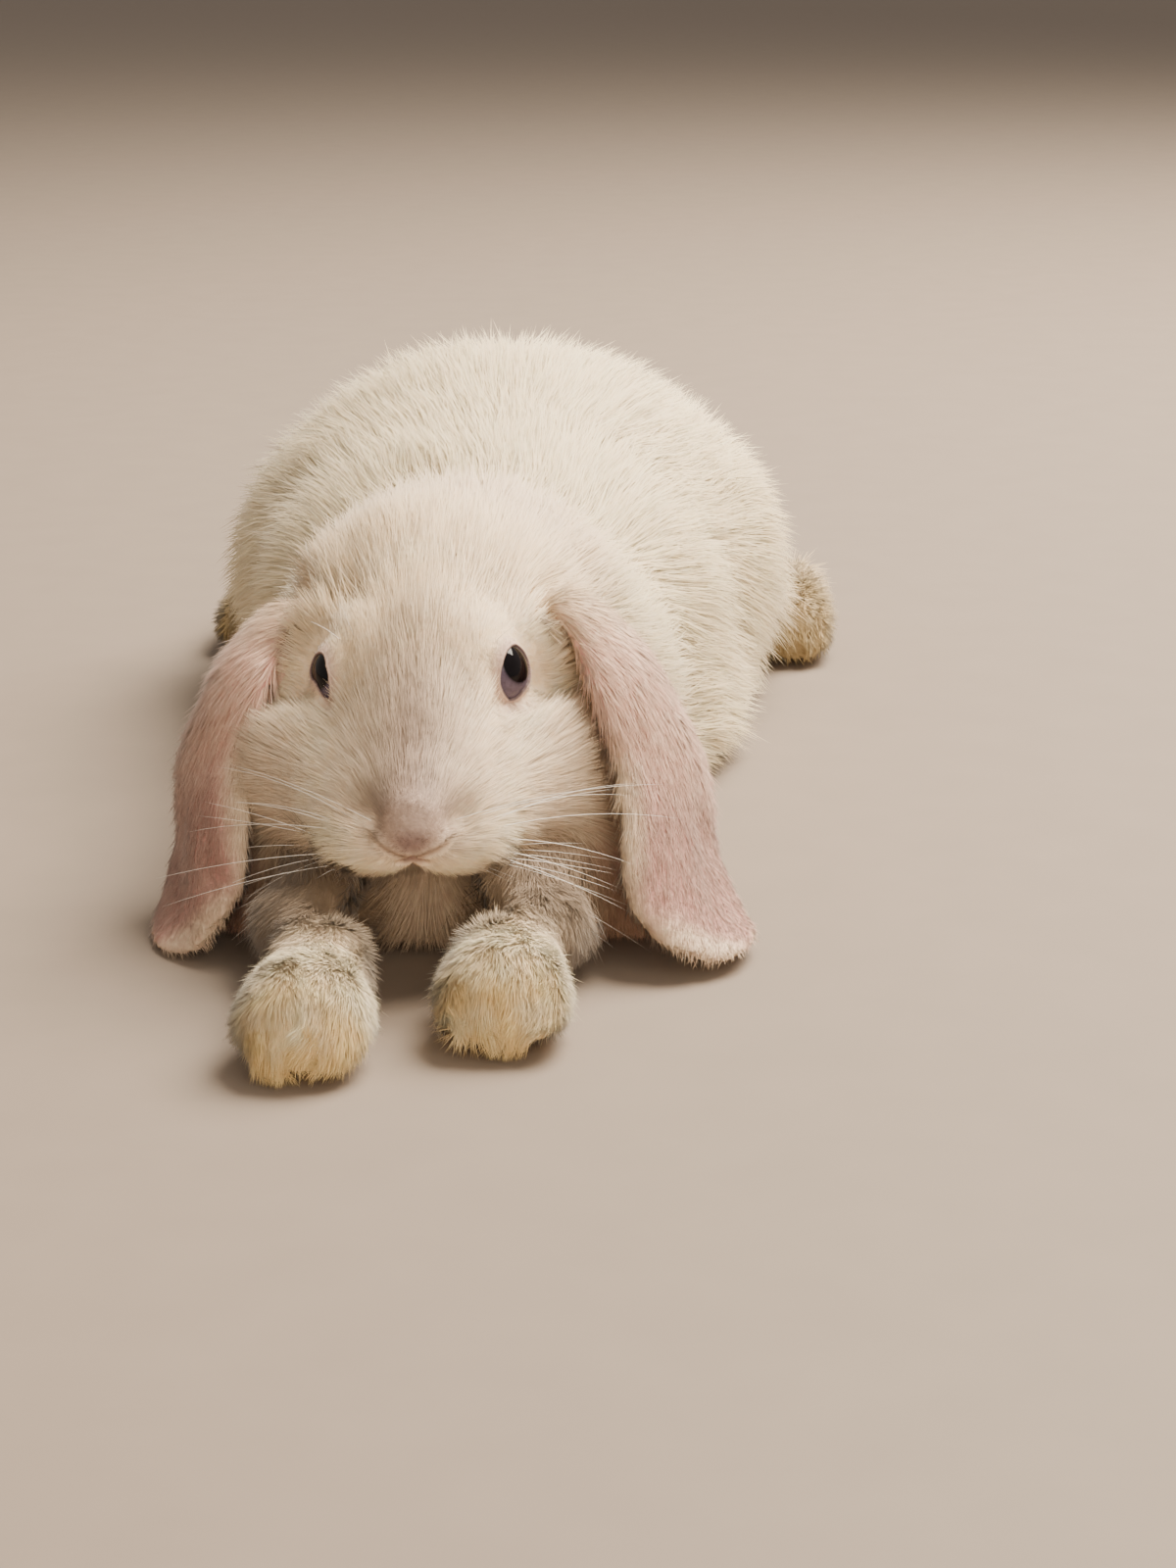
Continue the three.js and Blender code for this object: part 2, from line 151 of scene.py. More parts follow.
ear_mesh = {}
ear_spot = []
for side in ("left", "right"):
    leaf = bmesh.new()
    bmesh.ops.create_grid(leaf, x_segments=30, y_segments=64, size=1.0)
    flat = np.array([v.co[:] for v in leaf.verts])
    s, t = flat[:, 0], (flat[:, 1] + 1) / 2
    bent = (ear_shape(side, t, s) + placed) * MM
    for v, p in zip(leaf.verts, bent):
        v.co = p
    ear_spot += [(p, ti, si) for p, ti, si in zip(bent, t, s)]
    bmesh.ops.remove_doubles(leaf, verts=leaf.verts, dist=1e-5)
    bmesh.ops.recalc_face_normals(leaf, faces=leaf.faces)
    bmesh.ops.solidify(leaf, geom=leaf.faces[:], thickness=LEAF_THICK * MM)
    ear_mesh[side] = bpy.data.meshes.new(f"ear_leaf_{side}")
    leaf.to_mesh(ear_mesh[side])
    leaf.free()
ear_tree = KDTree(len(ear_spot))
for i, spot in enumerate(ear_spot):
    ear_tree.insert(spot[0], i)
ear_tree.balance()

# ---- The body under the coat ----
# Head, neck, trunk, legs, feet and tail are one body. The solids reach to the tips of the
# coat, so the body is drawn in from them by the depth of the coat at each place.
BODY_GRID = 2.2
SKIN_GRID = 1.36
flesh = ["head", "neck", "trunk", "tail"]
flesh += [f"{part}_{side}" for part in ("foreleg", "hind_leg", "hind_foot") for side in ("left", "right")]


def remeshed(mesh, voxel, rounds):
    body = bpy.data.objects.new("shaping", mesh)
    bpy.context.collection.objects.link(body)
    grid = body.modifiers.new("grid", "REMESH")
    grid.mode = "VOXEL"
    grid.voxel_size = voxel * MM
    ease = body.modifiers.new("ease", "SMOOTH")
    ease.iterations = rounds
    ease.factor = 0.5
    done = bpy.data.meshes.new_from_object(body.evaluated_get(bpy.context.evaluated_depsgraph_get()))
    bpy.data.objects.remove(body)
    return done


shell = bmesh.new()
for name in flesh + ["eye_left", "eye_right"]:
    part = bmesh.new()
    part.from_mesh(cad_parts[name].data)
    bmesh.ops.remove_doubles(part, verts=part.verts, dist=1e-5)
    part.normal_update()
    for v in part.verts:
        v.co += v.normal * 0.0006
    joined = bpy.data.meshes.new(name)
    part.to_mesh(joined)
    part.free()
    shell.from_mesh(joined)
whole = bpy.data.meshes.new("body")
shell.to_mesh(whole)
shell.free()
whole = remeshed(whole, BODY_GRID, 6)


def read(mesh, what="co"):
    values = np.empty(len(mesh.vertices) * 3)
    if what == "co":
        mesh.vertices.foreach_get("co", values)
    else:
        mesh.vertex_normals.foreach_get("vector", values)
    return values.reshape(-1, 3)


def write(mesh, places):
    mesh.vertices.foreach_set("co", places.astype(np.float32).ravel())
    mesh.update()


def to_line(p, a, b):
    a, b = np.array(a, float), np.array(b, float)
    t = np.clip(((p - a) @ (b - a)) / ((b - a) @ (b - a)), 0, 1)
    return np.linalg.norm(p - a - t[:, None] * (b - a), axis=1)


def places_of(p):
    # How much each point belongs to each part of the rabbit, from 0 to 1.
    q = on_head(p)
    fore = np.minimum(to_line(p, (21, 34, 9.5), (18, -22, 8)), to_line(p, (-21, 34, 9.5), (-15.5, -35, 8)))
    hind = np.minimum(to_line(p, (69.5, 244, 8), (69, 294, 9)), to_line(p, (-74, 250, 8), (-72, 297, 9)))
    part = {}
    part["paw"] = (1 - smooth(fore, 13, 19)) * (1 - smooth(p[:, 1], 26, 52))
    part["foot"] = (1 - smooth(hind, 12, 20)) * smooth(np.abs(p[:, 0] + 2), 46, 56)
    part["tail"] = (smooth(p[:, 1], 297, 304) * (1 - smooth(np.abs(p[:, 0] + 4.5), 17, 26))
                    * smooth(p[:, 2], 8, 16))
    part["muzzle"] = (1 - smooth(q[:, 1], 14, 32)) * smooth(p[:, 2], 15, 20) * (1 - part["paw"])
    part["face"] = (1 - smooth(q[:, 1], 34, 62)) * smooth(p[:, 2], 12, 24) * (1 - part["paw"])
    part["head"] = (1 - smooth(p[:, 1], 72, 112)) * smooth(p[:, 2], 10, 26) * (1 - part["paw"])
    centre = {k: c / MM - placed for k, c in eye_centre.items()}
    part["chest"] = (1 - smooth(p[:, 1], 44, 76)) * (1 - smooth(p[:, 2], 18, 30)) * (1 - part["muzzle"])
    part["eye"] = 1 - smooth(np.minimum(*[np.linalg.norm(p - c, axis=1) for c in centre.values()]), 9, 17)
    return part


def coat_depth(p):
    part = places_of(p)
    depth = np.full(len(p), 8.0)
    depth += (6.0 - depth) * part["head"]
    depth += (4.2 - depth) * part["face"]
    depth += (2.0 - depth) * part["muzzle"]
    depth += (1.2 - depth) * part["eye"]
    depth += (4.5 - depth) * part["chest"]
    depth += (2.6 - depth) * np.maximum(part["paw"] * (1 - smooth(p[:, 1], 4, 26)), part["foot"])
    depth += (6.5 - depth) * part["tail"]
    nose = 1 - smooth(np.linalg.norm((on_head(p) - [0, 1.5, 32]) / [7, 5, 7], axis=1), 0.6, 1.3)
    depth *= 1 - 0.8 * nose
    under = 1 - smooth(p[:, 2], 0.5, 11)
    return depth + (np.minimum(depth, 1.8) - depth) * under


place = read(whole) / MM - placed
normal = read(whole, "normal")
place -= normal * coat_depth(place)[:, None]
write(whole, (place + placed) * MM)

shell = bmesh.new()
shell.from_mesh(whole)
for side in ("left", "right"):
    shell.from_mesh(ear_mesh[side])
both = bpy.data.meshes.new("body_and_ears")
shell.to_mesh(both)
shell.free()
skin_mesh = remeshed(both, SKIN_GRID, 3)
skin = bpy.data.objects.new("skin", skin_mesh)
bpy.context.collection.objects.link(skin)

# ---- Muzzle, nose, lips and eyelids ----
# The bare form is worked into the skin itself: puffed whisker pads, the V of the nose over a
# short cleft, the lip line, and round each eye a lid that lies on the ball and leaves an
# almond opening, with its tear corner low and to the front.
def turned(azimuth, rise_by, side):
    # A direction from the head's middle plane round to one side and up, in degrees.
    sign = 1 if side == "left" else -1
    azimuth, rise_by = math.radians(azimuth), math.radians(rise_by)
    v = np.array([sign * math.sin(azimuth) * math.cos(rise_by),
                  -math.cos(azimuth) * math.cos(rise_by), math.sin(rise_by)])
    c, t = math.cos(HEAD_TURN), math.sin(HEAD_TURN)
    return np.array([v[0] * c - v[1] * t, v[0] * t + v[1] * c, v[2]])


# The lid's edge, as angles on the ball from the middle of the opening: first where the middle
# is, then the turn round it, from -90 below through 0 ahead and 90 above to 270, then how far
# out the edge lies. The right eye is drawn half shut by the cheek below it.
lid_edge = {
    "left": ((60, 14), [-90, -83, -70, -58, -50, -34, -14, 4, 30, 54, 85, 113, 150, 180, 205, 225, 248, 270],
             [29, 33, 40, 44, 43, 42, 40.5, 37, 32.5, 31.5, 32.5, 36, 36, 33, 29, 25.5, 25, 29]),
    "right": ((54, 16), [-90, -75, -63, -54, -41, -14, 10, 36, 70, 109, 139, 150, 163, 185, 210, 246, 270],
              [15, 25, 38, 37, 32, 22, 18, 15, 18, 24, 29, 32, 30, 27, 19, 13, 15]),
}


def eye_opening(p, side):
    # Distance from the ball's centre, and how far out each point lies, 1 being the lid's edge.
    (facing, rise), lid_turn, lid_out = lid_edge[side]
    out = turned(facing, rise, side)
    ahead = turned(facing - 90, 0, side)
    over = turned(facing, rise + 90, side)
    ahead = unit(ahead - out * (ahead @ out))
    over = unit(over - out * (over @ out) - ahead * (over @ ahead))
    d = p - (eye_centre[side] / MM - placed)
    r = np.linalg.norm(d, axis=-1)
    n = d / np.maximum(r, 1e-6)[..., None]
    away = np.degrees(np.arccos(np.clip(n @ out, -1, 1)))
    round_it = (np.degrees(np.arctan2(n @ over, n @ ahead)) + 90) % 360 - 90
    return r, 1 + (away - np.interp(round_it, lid_turn, lid_out)) / 36, n


def under_pads(q):
    # The hollow below the two round whisker pads, over chin and jaw.
    side_x = np.abs(q[:, 0])
    low = 28.6 - 5.8 * np.sqrt(np.clip(1 - ((side_x - 7) / 8.6) ** 2, 0.04, 1))
    return (1 - smooth(q[:, 2] - low, -1.0, 0.4)) * (1 - smooth(side_x, 14, 19)) * smooth(q[:, 1], -8, 0)


def temple_of(q):
    # The full temple that closes the gap between the eye and the ear's front margin.
    return (smooth(q[:, 1], 43, 51) * (1 - smooth(q[:, 1], 66, 84)) * smooth(np.abs(q[:, 0]), 12, 18)
            * np.exp(-(((q[:, 2] - 48.5) / 12.5) ** 2)))


# The middle of each forepaw's toes on the ground, and how far out each hind foot lies.
fore_toes = ((18, -35), (-15.5, -48))
hind_toes = (69.5, -74)


def nose_edge(side_x):
    # Height of the V under the nose.
    return 27.2 + 0.16 * side_x + 0.032 * side_x**2


def sculpt(p, normal, bare_head):
    q = on_head(p)
    side_x = np.abs(q[:, 0])
    front = (1 - smooth(q[:, 1], 15, 22)) * bare_head
    push = np.zeros(len(p))
    pad = np.exp(-(((side_x - 8.5) / 6.2) ** 2 + ((q[:, 2] - 26) / 4.2) ** 2 + ((q[:, 1] - 7) / 10) ** 2))
    push += 2.6 * pad
    push += 6.4 * temple_of(q) * bare_head
    mound = np.exp(-((side_x / 4.6) ** 2 + ((q[:, 2] - 30.5) / 3.6) ** 2)) * front
    push += 1.6 * mound
    beside = np.exp(-(((side_x - 7.2) / 2.0) ** 2 + ((q[:, 2] - 32.5) / 2.6) ** 2)) * front
    push -= 1.3 * beside
    push -= 4.6 * under_pads(q) * front
    vee = q[:, 2] - nose_edge(side_x)
    reach = (1 - smooth(side_x, 5.4, 7.2)) * front * 0.9
    push += 0.5 * np.exp(-(((vee - 1.0) / 0.8) ** 2)) * reach
    push -= 1.2 * np.exp(-((vee / 0.5) ** 2)) * reach * (0.45 + 0.55 * smooth(side_x, 1.2, 3.2))
    cleft = np.exp(-((side_x / 0.5) ** 2)) * smooth(q[:, 2], 26.0, 26.5) * (1 - smooth(q[:, 2], 27.4, 28.4))
    push -= 0.8 * cleft * front
    lip = q[:, 2] - (26.1 - 0.03 * side_x**2)
    push -= 1.3 * np.exp(-((lip / 0.45) ** 2)) * (1 - smooth(side_x, 1.8, 3.4)) * front
    wrist = places_of(p)["paw"] * smooth(p[:, 1] + np.where(p[:, 0] < 0, 8, 0), -14, 4)
    push += 1.6 * wrist * smooth(normal[:, 2], -0.1, 0.6)
    # The chest swells into the crease beside each foreleg.
    crease = (np.abs(p[:, 0]) - 10.6) / 2.8, (p[:, 1] - 16) / 6.5, (p[:, 2] - 14.5) / 5.5
    push += 2.2 * np.exp(-sum(part**2 for part in crease))
    for x, y in fore_toes:
        on_toes = ((1 - smooth(p[:, 1], y + 7, y + 13)) * (np.abs(p[:, 0] - x) < 14)
                   * smooth(normal[:, 2], -0.5, 0))
        for k in (-1, 0, 1):
            fan = x + k * (5.6 - 0.06 * (p[:, 1] - y))
            push -= 0.55 * np.exp(-(((p[:, 0] - fan) / 1.0) ** 2)) * on_toes
    foot = places_of(p)["foot"]
    for x in hind_toes:
        on_toes = ((1 - smooth(p[:, 1], 250, 262)) * foot * (np.abs(p[:, 0] - x) < 13)
                   * smooth(normal[:, 2], -0.5, 0))
        for k in (-1, 0, 1):
            push -= 1.5 * np.exp(-(((p[:, 0] - x - 5.4 * k) / 0.9) ** 2)) * on_toes
    push -= 3.4 * foot * smooth(p[:, 1], 258, 296) * smooth(p[:, 2], 2, 9)
    p = p + normal * push[:, None]
    for side in ("left", "right"):
        r, edge, n = eye_opening(p, side)
        near = (r < 15) & (bare_head > 0.5)
        lid = EYE_R + 0.35 + 0.25 * np.exp(-(((edge - 1.1) / 0.06) ** 2))
        outer = np.maximum(lid + (r - lid) * smooth(edge, 1.2, 1.85), EYE_R + 0.4)
        target = np.where(edge < 1.05, lid - 2.4 * (1 - smooth(edge, 0.92, 1.04)), outer)
        p = np.where(near[:, None], p + n * (target - r)[:, None], p)
    return p


def ear_place(p):
    # For each point, how surely it is on an ear, and where on the leaf it lies.
    on = np.zeros(len(p))
    t, s = np.zeros(len(p)), np.zeros(len(p))
    for i, point in enumerate((p + placed) * MM):
        _co, found, away = ear_tree.find(point)
        on[i] = away / MM
        t[i], s[i] = ear_spot[found][1:]
    return (1 - smooth(on, 2.6, 4.2)) * smooth(t, 0.04, 0.16), t, s


# The ears' thin margins are eased before the face is worked.
place = read(skin_mesh)
on_ear = ear_place(place / MM - placed)[0]
ends = np.empty(len(skin_mesh.edges) * 2, int)
skin_mesh.edges.foreach_get("vertices", ends)
ends = ends.reshape(-1, 2)
count = np.bincount(ends.ravel(), minlength=len(place))[:, None]
for step in range(12):
    total = np.zeros_like(place)
    np.add.at(total, ends[:, 0], place[ends[:, 1]])
    np.add.at(total, ends[:, 1], place[ends[:, 0]])
    amount = 0.55 if step % 2 == 0 else -0.5
    place += (total / count - place) * amount * on_ear[:, None]
write(skin_mesh, place)

fine = bmesh.new()
fine.from_mesh(skin_mesh)
for step in range(3):
    spots = np.array([v.co[:] for v in fine.verts]) / MM - placed
    q = on_head(spots)
    want = (q[:, 1] < 12) & (q[:, 2] > 17) & (q[:, 2] < 38) & (np.abs(q[:, 0]) < 14) & (step < 2)
    for side in ("left", "right"):
        r, edge, _n = eye_opening(spots, side)
        want |= (r < 13) & (edge < 1.6) & ((step < 2) | ((edge > 0.85) & (edge < 1.25)))
    fine.verts.ensure_lookup_table()
    chosen = [e for e in fine.edges if want[e.verts[0].index] and want[e.verts[1].index]]
    bmesh.ops.subdivide_edges(fine, edges=chosen, cuts=1, use_grid_fill=True)
    bmesh.ops.triangulate(fine, faces=[f for f in fine.faces if len(f.verts) > 4])
    fine.verts.index_update()
fine.to_mesh(skin_mesh)
fine.free()
place = read(skin_mesh) / MM - placed
skin_ear = ear_place(place)
place = sculpt(place, read(skin_mesh, "normal"), 1 - skin_ear[0])
write(skin_mesh, (place + placed) * MM)
skin_mesh.polygons.foreach_set("use_smooth", np.ones(len(skin_mesh.polygons), bool))


# ---- Colours of skin and coat ----
# The coat is white with a warm cast and a deeper warm tone on the crown. Painted shade darkens the
# nape, the cheeks under the ears and the front of the bridge, which also has a brown-pink tone of its
# own. Throat, chest and forearms are tan, darkened with painted shade under the head and pads, and
# toes and soles are stained yellow. A painted orange-red glow of light through the ears lies in the
# gap between ear and cheek. The ears are pink skin under thin hair with white rims, the nose and
# lips are rose with painted shade in their creases and at the nose tip, and the lids mauve.
def wander(p, size, seed):
    # A slow smooth noise in -1..1.
    pick = np.random.default_rng(seed)
    total = np.zeros(len(p))
    for _ in range(5):
        k = unit(pick.normal(size=3)) * pick.uniform(0.6, 1.5) * 2 * math.pi / size
        total += np.sin(p @ k + pick.uniform(0, 6.3))
    return total / 3


def colours(p, bare, ear):
    # Linear colours of the coat, or of the bare skin under it where bare is 1.
    part = places_of(p)
    q = on_head(p)
    ear_on, t, s = ear
    white = np.array([0.94, 0.75, 0.52])
    c = white + (np.array([0.95, 0.75, 0.49]) - white) * (1 - part["head"])[:, None]

    def blend(to, how_much):
        c[:] = c + (np.array(to) - c) * np.clip(how_much, 0, 1)[:, None]

    mottle = wander(p, 16, 3)
    crown = (1 - smooth(q[:, 1], 62, 92)) * smooth(q[:, 1], 16, 30) * smooth(q[:, 2], 40, 58)
    blend([0.84, 0.64, 0.40], crown * (0.55 + 0.3 * mottle))
    # Painted shade where the crown's dome turns away into the nape.
    nape = np.exp(-(((p[:, 1] - 92) / 16) ** 2)) * smooth(p[:, 2], 50, 70)
    blend([0.68, 0.54, 0.42], nape * 0.35)
    # Throat and chest: tan fur, darkened with painted shade under the head and below the whisker pads.
    throat = np.maximum(part["chest"], (1 - smooth(q[:, 2], 17, 23)) * (1 - smooth(q[:, 1], 30, 50)))
    throat = throat * smooth(p[:, 1] + np.where(p[:, 0] < 0, 13, 0), -6, 12)
    throat = np.maximum(throat, under_pads(q) * (1 - smooth(q[:, 1], 24, 30)) * 1.2)
    blend([0.63, 0.48, 0.335], throat * (0.85 + 0.15 * mottle))
    # Painted shade on the cheeks where the ears hang beside them.
    cheek = smooth(np.abs(q[:, 0]), 15, 24) * smooth(q[:, 1], 4, 16) * (1 - smooth(q[:, 1], 38, 50))
    cheek *= 1 - smooth(q[:, 2], 36, 46)
    blend([0.66, 0.48, 0.33], cheek * (1 - ear_on) * (0.6 + 0.15 * mottle))
    toes = np.maximum(part["paw"] * (1 - smooth(p[:, 1] + np.where(p[:, 0] < 0, 13, 0), -27, -15)),
                      part["foot"] * (1 - smooth(p[:, 1], 236, 285)))
    stain = toes * np.clip(0.62 + 0.55 * wander(p, 9, 5) + 0.35 * (1 - smooth(p[:, 2], 2, 14)), 0, 1)
    blend([0.88, 0.63, 0.27], stain * 0.95)
    sole = part["foot"] * (1 - 0.75 * smooth(p[:, 2], 3, 9) * smooth(p[:, 1], 256, 274))
    blend([0.50, 0.36, 0.17], sole * (0.9 + 0.1 * mottle))
    # The forearms under the head: tan fur, darkened with painted shade from the head above.
    sleeve_tan_and_shade = part["paw"] * smooth(p[:, 1] + np.where(p[:, 0] < 0, 6, 0), -9, 6)
    blend([0.26, 0.18, 0.11], sleeve_tan_and_shade * 0.9)
    for x, y in fore_toes:
        tips = (1 - smooth(p[:, 1], y + 4, y + 10)) * (np.abs(p[:, 0] - x) < 14)
        for k in (-1, 0, 1):
            fan = x + k * (5.6 - 0.06 * (p[:, 1] - y))
            blend([0.40, 0.27, 0.12], 0.1 * np.exp(-(((p[:, 0] - fan) / 0.8) ** 2)) * tips)
    away = np.linalg.norm((q - [0, 1, 32.5]) / [6.8, 8, 6.0], axis=1)
    blend([0.25, 0.145, 0.12], 0.8 * (1 - smooth(away, 0.6, 1.5)))
    # The nose tip: its own dark mauve, deepened with painted shade.
    tip = 1 - smooth(np.linalg.norm((q - [0, 0, 30.6]) / [3.6, 8, 2.9], axis=1), 0.35, 1.3)
    blend([0.09, 0.032, 0.036], tip * 0.9)
    # Painted shade in the crease of the V under the nose.
    blend([0.22, 0.12, 0.085], 0.8 * np.exp(-(((q[:, 2] - nose_edge(np.abs(q[:, 0])) + 0.2) / 0.55) ** 2))
          * (1 - smooth(np.abs(q[:, 0]), 5.0, 7.2)) * (1 - smooth(q[:, 1], 10, 14)))
    side_x = np.abs(q[:, 0])
    # Painted light and shade in the gap between ear and cheek: the orange-red glow of light through the thin
    # ear, and its shade.
    slit_glow_and_shade = (smooth(side_x, 28, 36) * smooth(q[:, 1], 22, 34) * (1 - smooth(q[:, 1], 46, 58))
            * (1 - smooth(q[:, 2], 40, 50)))
    slit_glow_and_shade = np.maximum(slit_glow_and_shade, smooth(side_x, 22, 29) * smooth(q[:, 1], 46, 56) * (1 - smooth(q[:, 1], 62, 74))
                      * smooth(q[:, 2], 30, 40) * (1 - smooth(q[:, 2], 50, 60)))
    blend([0.78, 0.37, 0.25], slit_glow_and_shade * (1 - ear_on) * 0.6)
    # Down the bridge: a brown-pink tone of its own, deepened with painted shade on the front of the face.
    bridge = np.exp(-((q[:, 0] / 9) ** 2)) * (1 - smooth(q[:, 1], 12, 44)) * smooth(q[:, 2], 29, 35)
    blend([0.31, 0.21, 0.16], bridge * 0.85)
    # The mouth line: rose lip colour, darkened with painted shade in the lip crease.
    lips = (np.exp(-(((q[:, 2] - 26.0) / 0.8) ** 2)) * (1 - smooth(np.abs(q[:, 0]), 1.4, 3.4))
            * (1 - smooth(q[:, 1], 10, 14)))
    blend([0.20, 0.085, 0.08], lips * 0.9)
    rim = 1 - smooth(s, -0.94, -0.68)
    rim = np.maximum(rim * smooth(t, 0.42, 0.6), smooth(t, 0.90, 0.96))
    rim = np.maximum(rim, smooth(s, 0.8, 0.95) * smooth(t, 0.6, 0.75))
    pink = ear_on * (1 - rim * 0.85) * smooth(t, 0.06, 0.3)
    tone = np.clip(0.5 + 0.5 * wander(p, 11, 8) + 0.25 * np.sin(14 * s), 0, 1)
    deep = np.array([0.62, 0.30, 0.25]) + tone[:, None] * np.array([0.12, 0.11, 0.09])
    low = smooth(t, 0.45, 0.7)
    deep *= (1 - 0.32 * low)[:, None]
    if bare:
        c[:] = c * 0.88 + np.array([0.74, 0.60, 0.50]) * 0.12
        c[:] = c + (deep - c) * np.clip(pink, 0, 1)[:, None]
    else:
        hazy = deep * (0.64 + 0.2 * low)[:, None] + white * (0.40 - 0.26 * low)[:, None]
        c[:] = c + (hazy - c) * np.clip(pink, 0, 1)[:, None]
    for side in ("left", "right"):
        r, edge, _n = eye_opening(p, side)
        corner = np.where(r < 13, 1 - smooth(edge, 1.1, 1.6), 0)
        blend([0.42, 0.26, 0.25], corner * 0.65)
        lid = np.where(r < 13, 1 - smooth(edge, 1.03, 1.1), 0)
        blend([0.07, 0.04, 0.045], lid * 0.95)
    c *= (1 + 0.04 * wander(p, 5, 11))[:, None]
    return np.clip(c, 0.01, 0.9)


def paint(mesh, rgb, name="mark"):
    layer = mesh.color_attributes.new(name, "FLOAT_COLOR", "POINT")
    layer.data.foreach_set("color", np.hstack([rgb, np.ones((len(rgb), 1))]).astype(np.float32).ravel())


place = read(skin_mesh) / MM - placed
paint(skin_mesh, colours(place, True, skin_ear))


# A fine grain that several finishes share: it varies a colour and raises a small bump.
grain = bpy.data.node_groups.new("fine_grain", "ShaderNodeTree")
for label, kind in (("Colour", "Color"), ("Scale", "Float"), ("Vary", "Float"), ("Rise", "Float")):
    grain.interface.new_socket(label, in_out="INPUT", socket_type=f"NodeSocket{kind}")
grain.interface.new_socket("Colour", in_out="OUTPUT", socket_type="NodeSocketColor")
grain.interface.new_socket("Normal", in_out="OUTPUT", socket_type="NodeSocketVector")
given, given_out = grain.nodes.new("NodeGroupInput"), grain.nodes.new("NodeGroupOutput")
where = grain.nodes.new("ShaderNodeTexCoord")
noise = grain.nodes.new("ShaderNodeTexNoise")
noise.inputs["Detail"].default_value = 3
vary = grain.nodes.new("ShaderNodeMix")
vary.data_type = "RGBA"
vary.blend_type = "OVERLAY"
rise = grain.nodes.new("ShaderNodeBump")
rise.inputs["Distance"].default_value = 0.0006
grain.links.new(where.outputs["Object"], noise.inputs["Vector"])
grain.links.new(given.outputs["Scale"], noise.inputs["Scale"])
grain.links.new(given.outputs["Vary"], vary.inputs["Factor"])
grain.links.new(given.outputs["Colour"], vary.inputs["A"])
grain.links.new(noise.outputs["Fac"], vary.inputs["B"])
grain.links.new(given.outputs["Rise"], rise.inputs["Strength"])
grain.links.new(noise.outputs["Fac"], rise.inputs["Height"])
grain.links.new(vary.outputs["Result"], given_out.inputs["Colour"])
grain.links.new(rise.outputs["Normal"], given_out.inputs["Normal"])


def finish_of(name, roughness, scale, vary_by, bump, colour=None):
    # A finish in the painted colours, or in one colour, with the fine grain over it.
    finish = bpy.data.materials.new(name)
    finish.use_nodes = True
    tree = finish.node_tree
    shade = tree.nodes["Principled BSDF"]
    over = tree.nodes.new("ShaderNodeGroup")
    over.node_tree = grain
    over.inputs["Scale"].default_value = scale
    over.inputs["Vary"].default_value = vary_by
    over.inputs["Rise"].default_value = bump
    if colour:
        over.inputs["Colour"].default_value = colour
    else:
        mark = tree.nodes.new("ShaderNodeAttribute")
        mark.attribute_name = "mark"
        tree.links.new(mark.outputs["Color"], over.inputs["Colour"])
    tree.links.new(over.outputs["Colour"], shade.inputs["Base Color"])
    tree.links.new(over.outputs["Normal"], shade.inputs["Normal"])
    shade.inputs["Roughness"].default_value = roughness
    return finish, shade


skin_mesh.materials.clear()
skin_mesh.materials.append(finish_of("skin_and_underfur", 0.75, 900, 0.35, 0.35)[0])
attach(skin, "root")
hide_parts(*flesh, "ear_left", "ear_right")

# ---- Eyes ----
# Each eye is a wet dark ball with a wide black pupil, a grey-violet iris that shows below it
# and a dark ring round the iris. The ball sits in the place of the solid's own.
for side in ("left", "right"):
    ball = bmesh.new()
    bmesh.ops.create_uvsphere(ball, u_segments=64, v_segments=48, radius=(EYE_R - 0.1) * MM)
    gaze = Vector(turned(*((57, 25) if side == "left" else (58, 18)), side))
    bmesh.ops.rotate(ball, verts=ball.verts, cent=(0, 0, 0), matrix=gaze.to_track_quat("Z", "Y").to_matrix())
    spots = np.array([v.co[:] for v in ball.verts]) / MM
    angle = np.degrees(np.arccos(np.clip(unit(spots) @ np.array(gaze), -1, 1)))
    swell = 0.3 * (1 - smooth(angle, 24, 56))
    for v, more in zip(ball.verts, swell):
        v.co *= 1 + more / EYE_R
    bmesh.ops.translate(ball, verts=ball.verts, vec=Vector(eye_centre[side]))
    ball_mesh = bpy.data.meshes.new(f"eyeball_{side}")
    ball.to_mesh(ball_mesh)
    ball.free()
    ball_mesh.polygons.foreach_set("use_smooth", np.ones(len(ball_mesh.polygons), bool))
    pupil, iris, rim = 28, 51, 55
    ring = np.tile([0.004, 0.003, 0.004], (len(spots), 1))
    ring += smooth(angle, pupil, pupil + 3)[:, None] * np.array([0.115, 0.088, 0.125])
    ring *= (1 - 0.85 * smooth(angle, iris, rim))[:, None]
    ring += smooth(angle, rim + 4, rim + 10)[:, None] * np.array([0.07, 0.045, 0.045])
    paint(ball_mesh, ring)
    wet, shade = finish_of(f"wet_eye_{side}", 0.04, 1500, 0.4, 0.02)
    shade.inputs["IOR"].default_value = 1.3
    ball_mesh.materials.append(wet)
    eyeball = bpy.data.objects.new(f"eyeball_{side}", ball_mesh)
    bpy.context.collection.objects.link(eyeball)
    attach(eyeball, "root")
    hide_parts(f"eye_{side}")

